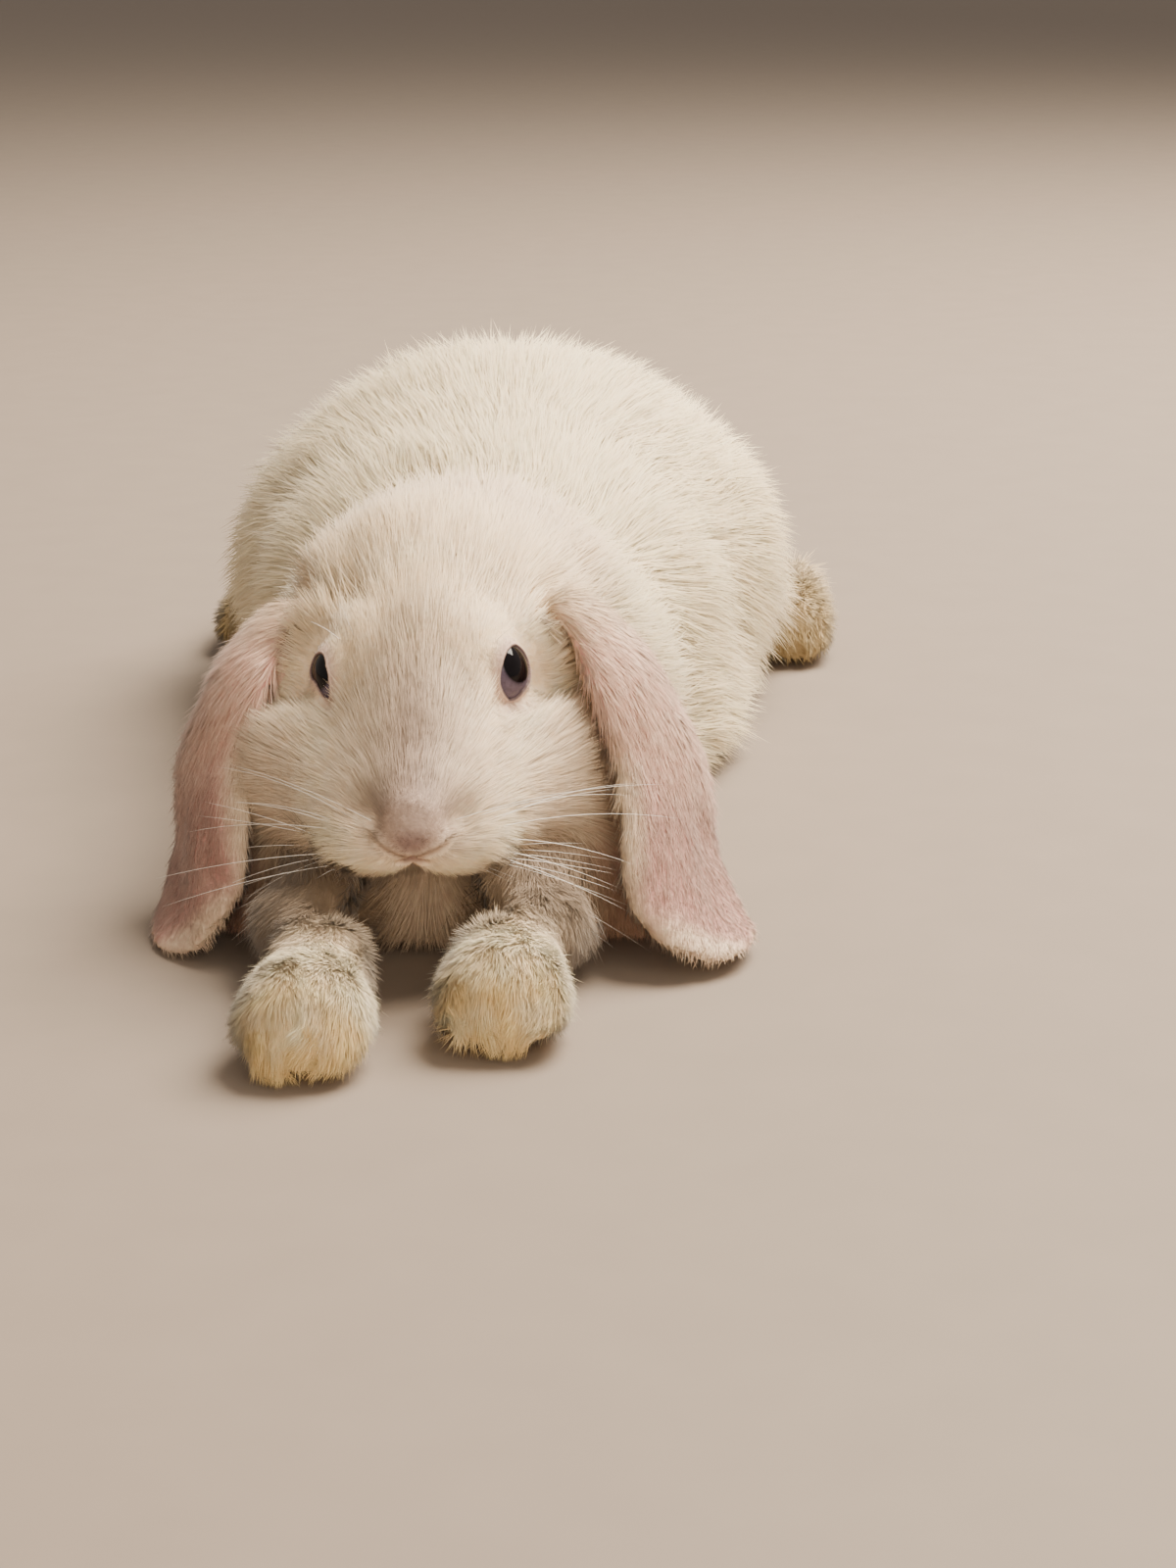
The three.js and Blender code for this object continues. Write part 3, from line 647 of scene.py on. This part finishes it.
# ---- The unwrap that the coat's hair patches lie on ----
# Every hair keeps the place of its root on this unwrap of the bare skin, with a small patch
# of its own round it. It is made before the coat, which reads it.
bpy.ops.object.select_all(action="DESELECT")
bpy.context.view_layer.objects.active = skin
skin.select_set(True)
skin_mesh.uv_layers.new(name="OFBake")
bpy.ops.object.mode_set(mode="EDIT")
bpy.ops.mesh.select_all(action="SELECT")
bpy.ops.uv.smart_project(angle_limit=math.radians(70), island_margin=0.002)
bpy.ops.object.mode_set(mode="OBJECT")
skin_mesh.calc_loop_triangles()
tri = np.empty(len(skin_mesh.loop_triangles) * 3, int)
skin_mesh.loop_triangles.foreach_get("vertices", tri)
tri = tri.reshape(-1, 3)
tri_loop = np.empty(len(tri) * 3, int)
skin_mesh.loop_triangles.foreach_get("loops", tri_loop)
tri_loop = tri_loop.reshape(-1, 3)
bake_uv = np.empty(len(skin_mesh.loops) * 2)
skin_mesh.uv_layers["OFBake"].data.foreach_get("uv", bake_uv)
bake_uv = bake_uv.reshape(-1, 2)

# ---- Coat ----
# Plush young fur, long and loose on the body and fine and close on face, ears and feet. Hairs
# are tapered locks in small clumps that lie back from the nose, down the flanks, along the
# ears and over the toes.
skin_at = read(skin_mesh) / MM - placed
skin_out = read(skin_mesh, "normal")
skin_ear_on, skin_t, skin_s = ear_place(skin_at)
corner = skin_at[tri]
area = np.linalg.norm(np.cross(corner[:, 1] - corner[:, 0], corner[:, 2] - corner[:, 0]), axis=1) / 2


def short_share(p, ear_on):
    # Where the fine close hair takes over from the long hair of the body.
    part = places_of(p)
    toes = np.maximum(part["paw"] * (1 - smooth(p[:, 1], 2, 20)), part["foot"] * 0.7)
    return np.maximum(np.maximum(part["face"], toes), ear_on)


def hairs_per_area(p, normal, ear_on):
    part = places_of(p)
    q = on_head(p)
    much = np.ones(len(p))
    for name, value in (("head", 1.25), ("chest", 2.2), ("face", 1.5), ("muzzle", 2.0),
                        ("paw", 3.0), ("foot", 0.9)):
        much += (value - much) * part[name]
    much += (1.15 - much) * ear_on
    side_x = np.abs(q[:, 0])
    front = 1 - smooth(q[:, 1], 12, 18)
    lip = q[:, 2] - (26.1 - 0.03 * side_x**2)
    crease = np.exp(-((lip / 0.6) ** 2)) * (1 - smooth(side_x, 2, 4)) * front
    vee = q[:, 2] - nose_edge(side_x)
    crease = np.maximum(crease, np.exp(-((vee / 0.5) ** 2)) * (1 - smooth(side_x, 5, 7)) * front)
    much *= 1 - 0.85 * crease
    much *= 1 - 0.93 * (1 - smooth(p[:, 2], 1.0, 7)) * smooth(-normal[:, 2], 0.2, 0.7)
    for side in ("left", "right"):
        r, edge, _n = eye_opening(p, side)
        much = np.where((r < 14) & (edge < 1.09), 0, much)
    return much


def lie_of(p, normal, ear_on, t):
    # The way the hair points at each place, along the skin.
    part = places_of(p)
    q = on_head(p)
    outer = np.tanh(p[:, 0] / 6)
    flat = 0 * outer
    sides = smooth(np.abs(p[:, 0] + 2), 8, 60)
    way = np.stack([0.18 * outer, 1.0 + flat, -0.7 * sides], -1)
    rear = smooth(p[:, 1], 262, 305)
    way += rear[:, None] * np.stack([0.3 * outer, -0.2 + flat, -0.9 + flat], -1)
    way += 0.34 * np.stack([wander(p, 30, k) for k in (21, 22, 23)], -1)
    from_nose = unit(q - [0, 3, 30.5])
    from_nose[:, 1] += 0.3
    from_nose[:, 2] += np.where(np.abs(q[:, 0]) < 12, 0.2, -0.2)
    c, n = math.cos(HEAD_TURN), math.sin(HEAD_TURN)
    from_nose = np.stack([from_nose[:, 0] * c - from_nose[:, 1] * n,
                          from_nose[:, 0] * n + from_nose[:, 1] * c, from_nose[:, 2]], -1)
    from_nose += 0.12 * np.stack([wander(p, 12, k) for k in (24, 25, 26)], -1)
    way += (from_nose - way) * (part["head"] * (1 - part["chest"]))[:, None]
    way += (np.stack([0.55 * outer, -0.55 + flat, -0.75 + flat], -1) - way) * part["chest"][:, None]
    for side in ("left", "right"):
        r, edge, spoke = eye_opening(p, side)
        near = (1 - smooth(edge, 1.6, 2.8)) * (1 - smooth(r, 10, 16))
        middle_way = turned(*lid_edge[side][0], side)
        away = spoke - middle_way * (spoke @ middle_way)[:, None]
        away = unit(away)
        way = unit(way)
        way -= away * (np.minimum((way * away).sum(1), 0) * near)[:, None]
        way += away * (0.5 * near + 0.6 * near * (1 - smooth(edge, 1.2, 1.6)))[:, None]
    wrist = part["paw"] * (1 - smooth(p[:, 1], 18, 44))
    toe = np.stack([0.3 * wander(p, 9, 27), -1 + flat, 0.5 * wander(p, 11, 34) - 0.3], -1)
    way += (toe - way) * wrist[:, None]
    way += (np.stack([0.15 * outer, -1 + flat, -0.3 + flat], -1) - way) * part["foot"][:, None]
    way += (np.array([0, 0.75, 0.45]) - way) * part["tail"][:, None]
    for side, sign in (("left", 1), ("right", -1)):
        along = along_line(ear_line[side], t)[1] + 0.1 * np.stack([wander(p, 9, k) for k in (28, 29, 30)], -1)
        here = ear_on * (np.sign(p[:, 0]) == sign)
        way += (along - way) * here[:, None]
    way -= normal * (way * normal).sum(-1, keepdims=True)
    return unit(way)


def grow(count, kind):
    # Roots spread over the skin by the wanted number of hairs, with all that shapes each hair.
    middle_ear = skin_ear_on[tri].mean(1)
    short = short_share(corner.mean(1), middle_ear)
    weight = area * hairs_per_area(corner.mean(1), unit(skin_out[tri].mean(1)), middle_ear)
    weight *= short if kind == "short" else 1 - short
    weight = np.where(corner.mean(1)[:, 2] < 4, weight * 0.4, weight)
    reach = np.cumsum(weight)
    pick = np.searchsorted(reach, (np.arange(count) + rng.random(count)) / count * reach[-1])
    pick = np.clip(pick, 0, len(tri) - 1)
    a, b = rng.random((2, count))
    flip = a + b > 1
    a[flip], b[flip] = 1 - a[flip], 1 - b[flip]
    share = np.stack([1 - a - b, a, b], -1)[:, :, None]
    hair = {"kind": kind, "root": (skin_at[tri[pick]] * share).sum(1)}
    hair["out"] = unit((skin_out[tri[pick]] * share).sum(1))
    hair["uv"] = (bake_uv[tri_loop[pick]] * share).sum(1)
    hair["ear"] = [(v[tri[pick]] * share[:, :, 0]).sum(1) for v in (skin_ear_on, skin_t, skin_s)]
    root, out = hair["root"], hair["out"]
    on, t, s = hair["ear"]
    part = places_of(root)
    q = on_head(root)
    depth = coat_depth(root)
    lift = np.full(count, 28.0)
    for name, value in (("head", 26), ("chest", 22), ("face", 21), ("muzzle", 17), ("eye", 12),
                        ("paw", 20), ("foot", 26), ("tail", 42)):
        lift += (value - lift) * part[name]
    length = np.clip(depth / np.sin(np.radians(lift)), 1.4, 17)
    lift *= 1 - 0.3 * part["paw"] - 0.3 * part["chest"] * (1 - part["paw"])
    nose = 1 - smooth(np.linalg.norm((q - [0, 0.5, 29.6]) / [5.5, 8, 5], axis=1), 0.7, 1.2)
    length *= 1 - 0.6 * nose
    for side in ("left", "right"):
        r, edge, _n = eye_opening(root, side)
        length *= 0.28 + 0.72 * np.maximum(smooth(edge, 1.1, 2.4), smooth(r, 9, 15))
    # The ears' hair gets shorter toward the tip and stands out a little along the margins.
    fringe = (smooth(-s, 0.6, 0.92) * smooth(t, 0.1, 0.4) * (0.8 - 0.4 * smooth(t, 0.6, 0.9))
              + smooth(t, 0.92, 0.98) * 0.15)
    ear_length = (7.5 - 3.0 * smooth(t, 0.4, 0.75) - 1.6 * smooth(t, 0.8, 0.95)) * (1 + 0.35 * fringe)
    length += (ear_length - length) * on
    lift += (8 + 11 * fringe * (1 - 0.4 * smooth(t, 0.6, 0.9)) - lift) * on
    length = np.minimum(length, 17 - 10.4 * part["paw"] * (1 - smooth(root[:, 1], -12, 12)))
    length *= 1 + 0.5 * part["foot"] * smooth(root[:, 1], 256, 274)
    chin = (np.exp(-(((np.abs(q[:, 0]) - 5) / 10) ** 2)) * (1 - smooth(q[:, 2], 25, 27.5))
            * (1 - smooth(q[:, 1], 10, 20)) * smooth(q[:, 1], -8, -3))
    length *= 1 - 0.6 * chin
    lift *= 1 - 0.6 * chin
    length *= 1 - 0.3 * temple_of(q) * (1 - on)
    if kind == "under":
        length, lift = length * rng.uniform(0.8, 1.05, count), lift * 0.62
    length *= rng.uniform(0.7, 1.12, count)
    stray = rng.random(count) < 0.05
    lift = lift * rng.uniform(0.7, 1.3, count) + np.where(stray, 14, 0) * (1 - part["muzzle"])
    lie = lie_of(root, out, on, t)
    aside = np.cross(out, lie)
    swing = rng.normal(0, 0.15, count) + 0.16 * wander(root, 9, 31) * (1 - on)
    lie = unit(lie + aside * swing[:, None])
    hair["lie"], hair["aside"] = lie, np.cross(out, lie)

    def bend(angle):
        a = np.radians(angle)[:, None]
        return lie * np.cos(a) + out * np.sin(a)

    middle = root + bend(lift * 1.4) * (length * 0.45)[:, None]
    tip = middle + bend(lift * 0.68) * (length * 0.55)[:, None]
    # Clumps: the tips near each leading hair are drawn together.
    lead = rng.permutation(count)[: count // (18 if kind == "short" else 13)]
    lead_tree = KDTree(len(lead))
    for i, k in enumerate(lead):
        lead_tree.insert(root[k], i)
    lead_tree.balance()
    leader = np.array([lead[lead_tree.find(r)[1]] for r in root])
    apart = np.linalg.norm(root[leader] - root, axis=1)
    same = ((out[leader] * out).sum(1) > 0.5) & (apart < 6) & ((lie[leader] * lie).sum(1) > 0.5)
    for side in ("left", "right"):
        r, edge, _n = eye_opening(root, side)
        same &= (r > 14) | (edge > 2.0)
    pull = (0.26 + 0.04 * part["head"] - 0.06 * part["muzzle"] + 0.02 * part["paw"] + 0.05 * on
            + 0.12 * wander(root, 30, 33))
    pull = np.clip(pull, 0.05, 0.7) * same * rng.uniform(0.5, 1.2, count)
    aim = tip[leader] + (root - root[leader]) * 0.2
    tip += (aim - tip) * pull[:, None]
    middle += (middle[leader] + (root - root[leader]) * 0.6 - middle) * (pull * 0.35)[:, None]
    for line in (middle, tip):
        line[:, 2] = np.maximum(line[:, 2], 0.35)
    hair["middle"], hair["tip"] = middle, tip
    clear = np.ones(count, bool)
    for side in ("left", "right"):
        for line in (middle, tip):
            r, edge, _n = eye_opening(line, side)
            clear &= (r > 14) | (edge > 1.06)
    hair["clear"] = clear
    wide = np.full(count, 0.25)
    for name, value in (("head", 0.21), ("face", 0.15), ("muzzle", 0.12), ("chest", 0.15),
                        ("paw", 0.12), ("foot", 0.18)):
        wide += (value - wide) * part[name]
    wide += (0.13 - wide) * on
    hair["wide"] = wide * rng.uniform(0.8, 1.25, count) * {"long": 0.7, "under": 1.0, "short": 0.9}[kind]
    hair["tint"] = colours(root, False, hair["ear"]) * rng.uniform(0.94, 1.05, (count, 1))
    crowd = np.where(on > 0.4, np.where(root[:, 0] > 0, 1, 2), 0)
    crowd = np.where((crowd == 0) & (part["foot"] > 0.5), 4, crowd)
    crowd = np.where((crowd == 0) & (part["face"] > 0.45), np.where(q[:, 0] > 0, 5, 6), crowd)
    crowd = np.where((crowd == 0) & ((part["paw"] > 0.3) | (part["chest"] > 0.4)), 3, crowd)
    crowd = np.where((crowd == 0) & (part["head"] > 0.3), 7, crowd)
    hair["crowd"] = crowd
    return hair


def coat_piece(name, hair, who, finish):
    # One joined mesh of closed spikes. Long hair has corners at its middle and so can bend.
    n = len(who)
    rings = 2 if hair["kind"] == "long" else 1
    size = rings * 3 + 1
    root, out, wide = hair["root"][who], hair["out"][who], hair["wide"][who, None]
    lie, aside = hair["lie"][who], hair["aside"][who]
    at = np.empty((n, size, 3))
    patch = np.empty((n, size, 2))
    turn = rng.uniform(0, 2 * math.pi, n)
    for k in range(3):
        a = (turn + k * 2 * math.pi / 3)[:, None]
        ring = aside * np.cos(a) + np.cross(lie, aside) * np.sin(a)
        spoke = np.array([math.cos(k * 2 * math.pi / 3), math.sin(k * 2 * math.pi / 3)])
        at[:, k] = root - out * 0.4 + ring * wide
        patch[:, k] = hair["uv"][who] + 0.0015 * spoke
        if rings == 2:
            at[:, k + 3] = hair["middle"][who] + ring * wide * 0.8
            patch[:, k + 3] = hair["uv"][who] + 0.0008 * spoke
    at[:, -1] = hair["tip"][who]
    patch[:, -1] = hair["uv"][who]
    if rings == 2:
        faces = [[0, 2, 1], [0, 1, 4], [0, 4, 3], [1, 2, 5], [1, 5, 4], [2, 0, 3], [2, 3, 5],
                 [3, 4, 6], [4, 5, 6], [5, 3, 6]]
    else:
        faces = [[0, 2, 1], [0, 1, 3], [1, 2, 3], [2, 0, 3]]
    corners = (np.arange(n)[:, None, None] * size + np.array(faces)[None]).reshape(-1)
    mesh = bpy.data.meshes.new(name)
    mesh.vertices.add(n * size)
    mesh.vertices.foreach_set("co", ((at + placed) * MM).astype(np.float32).ravel())
    mesh.loops.add(len(corners))
    mesh.loops.foreach_set("vertex_index", corners.astype(np.int32))
    mesh.polygons.add(n * len(faces))
    mesh.polygons.foreach_set("loop_start", np.arange(0, len(corners), 3, dtype=np.int32))
    mesh.polygons.foreach_set("use_smooth", np.ones(n * len(faces), bool))
    mesh.update(calc_edges=True)
    shade = np.repeat(hair["tint"][who][:, None], size, 1)
    # The root ring is painted darker as shade deep in the coat, and the tip a little lighter as painted
    # light.
    shade[:, :3] *= 0.9
    shade[:, -1] = np.minimum(shade[:, -1] * 1.05, 0.93)
    paint(mesh, shade.reshape(-1, 3))
    layer = mesh.uv_layers.new(name="OFBake")
    layer.data.foreach_set("uv", patch.reshape(-1, 2)[corners].astype(np.float32).ravel())
    own = unit(at - ((root + hair["tip"][who]) / 2)[:, None])
    soft = unit(out[:, None] + 0.25 * own)
    mesh.normals_split_custom_set_from_vertices(soft.reshape(-1, 3).astype(np.float32))
    mesh.materials.append(finish)
    piece = bpy.data.objects.new(name, mesh)
    bpy.context.collection.objects.link(piece)
    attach(piece, "root")
    return piece


fur, shade = finish_of("fur", 0.7, 500, 0.3, 0.1)
shade.inputs["Sheen Weight"].default_value = 0.2
names = ["body", "ear_left", "ear_right", "chest_and_forelegs", "hind_feet", "face_left", "face_right",
         "crown_and_cheeks"]
for kind, count, most in (("long", 34000, 19000), ("under", 142000, 48000), ("short", 140000, 48000)):
    hair = grow(count, kind)
    for k, name in enumerate(names):
        who = np.nonzero((hair["crowd"] == k) & hair["clear"])[0]
        who = who[np.argsort(hair["root"][who, 1], kind="stable")]
        bunches = math.ceil(len(who) / most)
        for i in range(bunches):
            some = np.array_split(who, bunches)[i]
            coat_piece(f"coat_{kind}_{name}" + (f"_{i + 1}" if bunches > 1 else ""), hair, some, fur)

# ---- Whiskers ----
# Fine white feelers in four rows on each pad and a few over each eye. They are stiff tapered
# hairs that sweep outward and back and droop at the tip.
feeler = bmesh.new()
skin_bvh = BVHTree.FromPolygons([tuple(v) for v in skin_at], [tuple(f) for f in tri.tolist()])
for side, sign in (("left", 1), ("right", -1)):
    plan = [(sign * (6.5 + 2.3 * col + rng.uniform(-0.5, 0.5)), 8.0,
             24.2 + 1.9 * row + rng.uniform(-0.4, 0.4), sign * rng.uniform(0.85, 1.1),
             rng.uniform(0.05, 0.5), -0.42 + 0.26 * row + rng.uniform(-0.14, 0.14),
             rng.uniform(26, 44) - 2.0 * col) for row in range(4) for col in range(4)]
    plan += [(sign * x, 37.0, 58.5, sign * dx, -0.3, 0.8, 9) for x, dx in ((12, 0.2), (15, 0.75))]
    for x, y, z, dx, dy, dz, long in plan:
        start, away, _f, _d = skin_bvh.find_nearest(Vector(off_head(np.array([x, y, z]))))
        heading = Vector(unit(np.array([dx, dy, dz])))
        sag = Vector((0, 0.15, -1)) * rng.uniform(0.10, 0.24) * long
        rings = []
        for step in range(9):
            u = step / 8
            centre = start + heading * long * u + sag * u * u
            centre.z = max(centre.z, 0.6)
            if step == 8:
                rings.append([feeler.verts.new((centre + Vector(placed)) * MM)])
                continue
            one = heading.orthogonal().normalized()
            two = heading.cross(one)
            thick = (0.08 if long > 20 else 0.05) * (1 - 0.75 * u)
            rings.append([feeler.verts.new((centre + (one * math.cos(a) + two * math.sin(a)) * thick
                                            + Vector(placed)) * MM) for a in (0.0, 2.094, 4.189)])
        feeler.faces.new(rings[0][::-1])
        for low, high in zip(rings, rings[1:]):
            for k in range(3):
                if len(high) == 1:
                    feeler.faces.new((low[k], low[(k + 1) % 3], high[0]))
                else:
                    feeler.faces.new((low[k], low[(k + 1) % 3], high[(k + 1) % 3], high[k]))
bmesh.ops.recalc_face_normals(feeler, faces=feeler.faces)
whisker_mesh = bpy.data.meshes.new("whiskers")
feeler.to_mesh(whisker_mesh)
feeler.free()
paint(whisker_mesh, np.tile([0.93, 0.90, 0.84], (len(whisker_mesh.vertices), 1)))
whisker_mesh.materials.append(finish_of("whisker_hair", 0.45, 300, 0.2, 0.1)[0])
whiskers = bpy.data.objects.new("whiskers", whisker_mesh)
bpy.context.collection.objects.link(whiskers)
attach(whiskers, "root")

# ---- Floor, light and camera ----
# A plain pale floor and plain soft light: one large lamp above and behind, two weak ones in
# front, and a warm room. The camera stands low in front of the face.
floor_mesh = bpy.data.meshes.new("floor")
pad = bmesh.new()
bmesh.ops.create_grid(pad, x_segments=1, y_segments=1, size=6.0)
pad.to_mesh(floor_mesh)
pad.free()
floor = bpy.data.objects.new("floor", floor_mesh)
bpy.context.collection.objects.link(floor)
floor_mesh.materials.append(finish_of("pale_floor", 0.7, 60, 0.06, 0.08, (0.25, 0.20, 0.157, 1))[0])


def soft_light(name, spot, target, size, power, colour):
    lamp = bpy.data.lights.new(name, "AREA")
    lamp.size = size
    lamp.energy = power
    lamp.color = colour
    light = bpy.data.objects.new(name, lamp)
    light.location = spot
    aim = Vector(target) - Vector(spot)
    light.rotation_euler = aim.to_track_quat("-Z", "Y").to_euler()
    bpy.context.collection.objects.link(light)


soft_light("overhead", (0.66, 0.64, 1.3), (0, 0.02, 0), 1.1, 110, (1.0, 0.88, 0.735))
soft_light("front_fill", (0.8, -1.1, 0.9), (0, -0.1, 0.03), 0.9, 6, (1.0, 0.88, 0.73))
soft_light("low_fill", (0.15, -1.1, 0.3), (0, -0.1, 0.02), 0.8, 5, (1.0, 0.84, 0.68))
world = bpy.data.worlds.new("room")
world.use_nodes = True
world.node_tree.nodes["Background"].inputs["Color"].default_value = (1.0, 0.89, 0.78, 1)
world.node_tree.nodes["Background"].inputs["Strength"].default_value = 0.43
bpy.context.scene.world = world

lens = bpy.data.cameras.new("camera")
lens.sensor_width = 36
lens.lens = 67.5
camera = bpy.data.objects.new("camera", lens)
bpy.context.collection.objects.link(camera)
yaw, pitch, roll = math.radians(4.0), math.radians(17.2), math.radians(-0.6)
look = Vector((-math.sin(yaw) * math.cos(pitch), math.cos(yaw) * math.cos(pitch), -math.sin(pitch)))
level = Vector((math.cos(yaw), math.sin(yaw), 0))
rise = level.cross(look)
right = level * math.cos(roll) + rise * math.sin(roll)
up = rise * math.cos(roll) - level * math.sin(roll)
stand = Vector((np.array([67.2, -502.5, 197.0]) + placed) * MM)
camera.matrix_world = Matrix((
    (right.x, up.x, -look.x, stand.x),
    (right.y, up.y, -look.y, stand.y),
    (right.z, up.z, -look.z, stand.z),
    (0, 0, 0, 1),
))
bpy.context.scene.camera = camera
